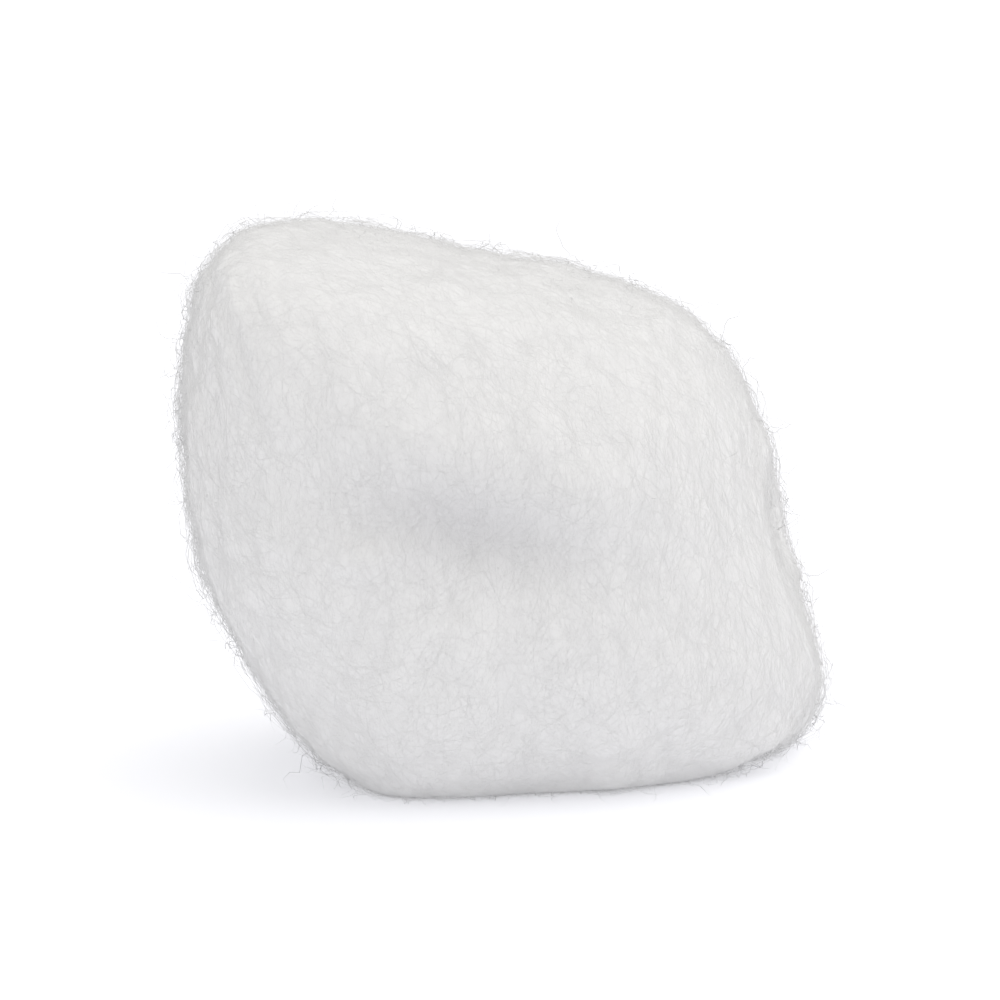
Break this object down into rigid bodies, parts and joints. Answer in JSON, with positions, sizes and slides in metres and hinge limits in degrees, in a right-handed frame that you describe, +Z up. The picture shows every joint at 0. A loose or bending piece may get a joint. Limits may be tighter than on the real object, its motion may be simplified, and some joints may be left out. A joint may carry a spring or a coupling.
{
  "type": "cotton ball",
  "caption": "Soft squarish ball of rolled carded cotton for dabbing, wiping and padding; rests on its flattened underside.",
  "frame": {"origin": "on the resting plane, under the middle of the ball", "axes": "+Z up from the resting plane; +X along the axis that the sliver is rolled about, towards the picture's right; -Y towards the viewer"},
  "size_m": [0.0324, 0.0282, 0.0276],
  "materials": {
    "carded_cotton": "matt, loose fibres"
  },
  "bodies": {
    "root": {"cotton_ball": "carded_cotton"}
  },
  "joints": []
}
